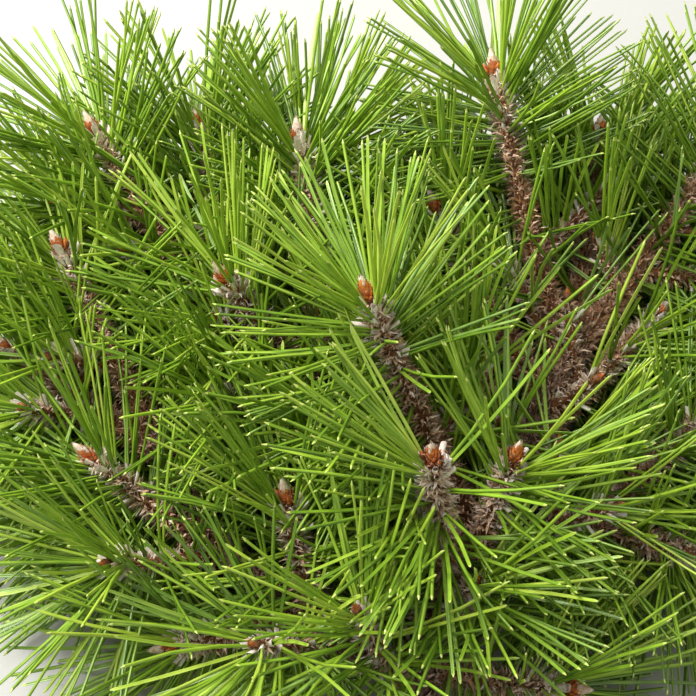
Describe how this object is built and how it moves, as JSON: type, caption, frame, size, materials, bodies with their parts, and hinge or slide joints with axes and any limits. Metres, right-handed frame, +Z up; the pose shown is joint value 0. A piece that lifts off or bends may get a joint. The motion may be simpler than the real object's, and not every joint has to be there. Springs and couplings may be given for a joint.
{
  "type": "cut austrian pine bough",
  "caption": "Cut bough of Austrian pine lying flat: a curved woody stem forks into side boughs, and upright shoots carry stiff paired needles below a pointed bud.",
  "frame": {"origin": "on the ground, under the middle of the bough's box", "axes": "+Z up, +Y from the cut end towards the tips, +X across the bough to the right"},
  "size_m": [0.4818, 0.4204, 0.2074],
  "materials": {
    "bark": "rough, scaly bark",
    "needles": "satin green needles"
  },
  "bodies": {
    "root": {"main_stem": "bark", "middle_bough": "bark", "left_bough": "bark", "right_bough": "bark", "centre_shoot": "needles", "front_shoot": "needles", "front_side_shoot": "needles", "upper_shoot": "needles", "leader_shoot": "needles", "upper_right_shoot": "needles", "upper_inner_shoot": "needles", "top_centre_shoot": "needles", "middle_left_shoot": "needles", "top_left_shoot": "needles", "top_inner_shoot": "needles", "inner_left_shoot": "needles", "lower_left_shoot": "needles", "far_left_shoot": "needles", "left_edge_shoot": "needles", "left_low_shoot": "needles", "right_shoot": "needles", "lower_right_shoot": "needles", "right_low_shoot": "needles", "behind_right_shoot": "needles"}
  },
  "joints": []
}
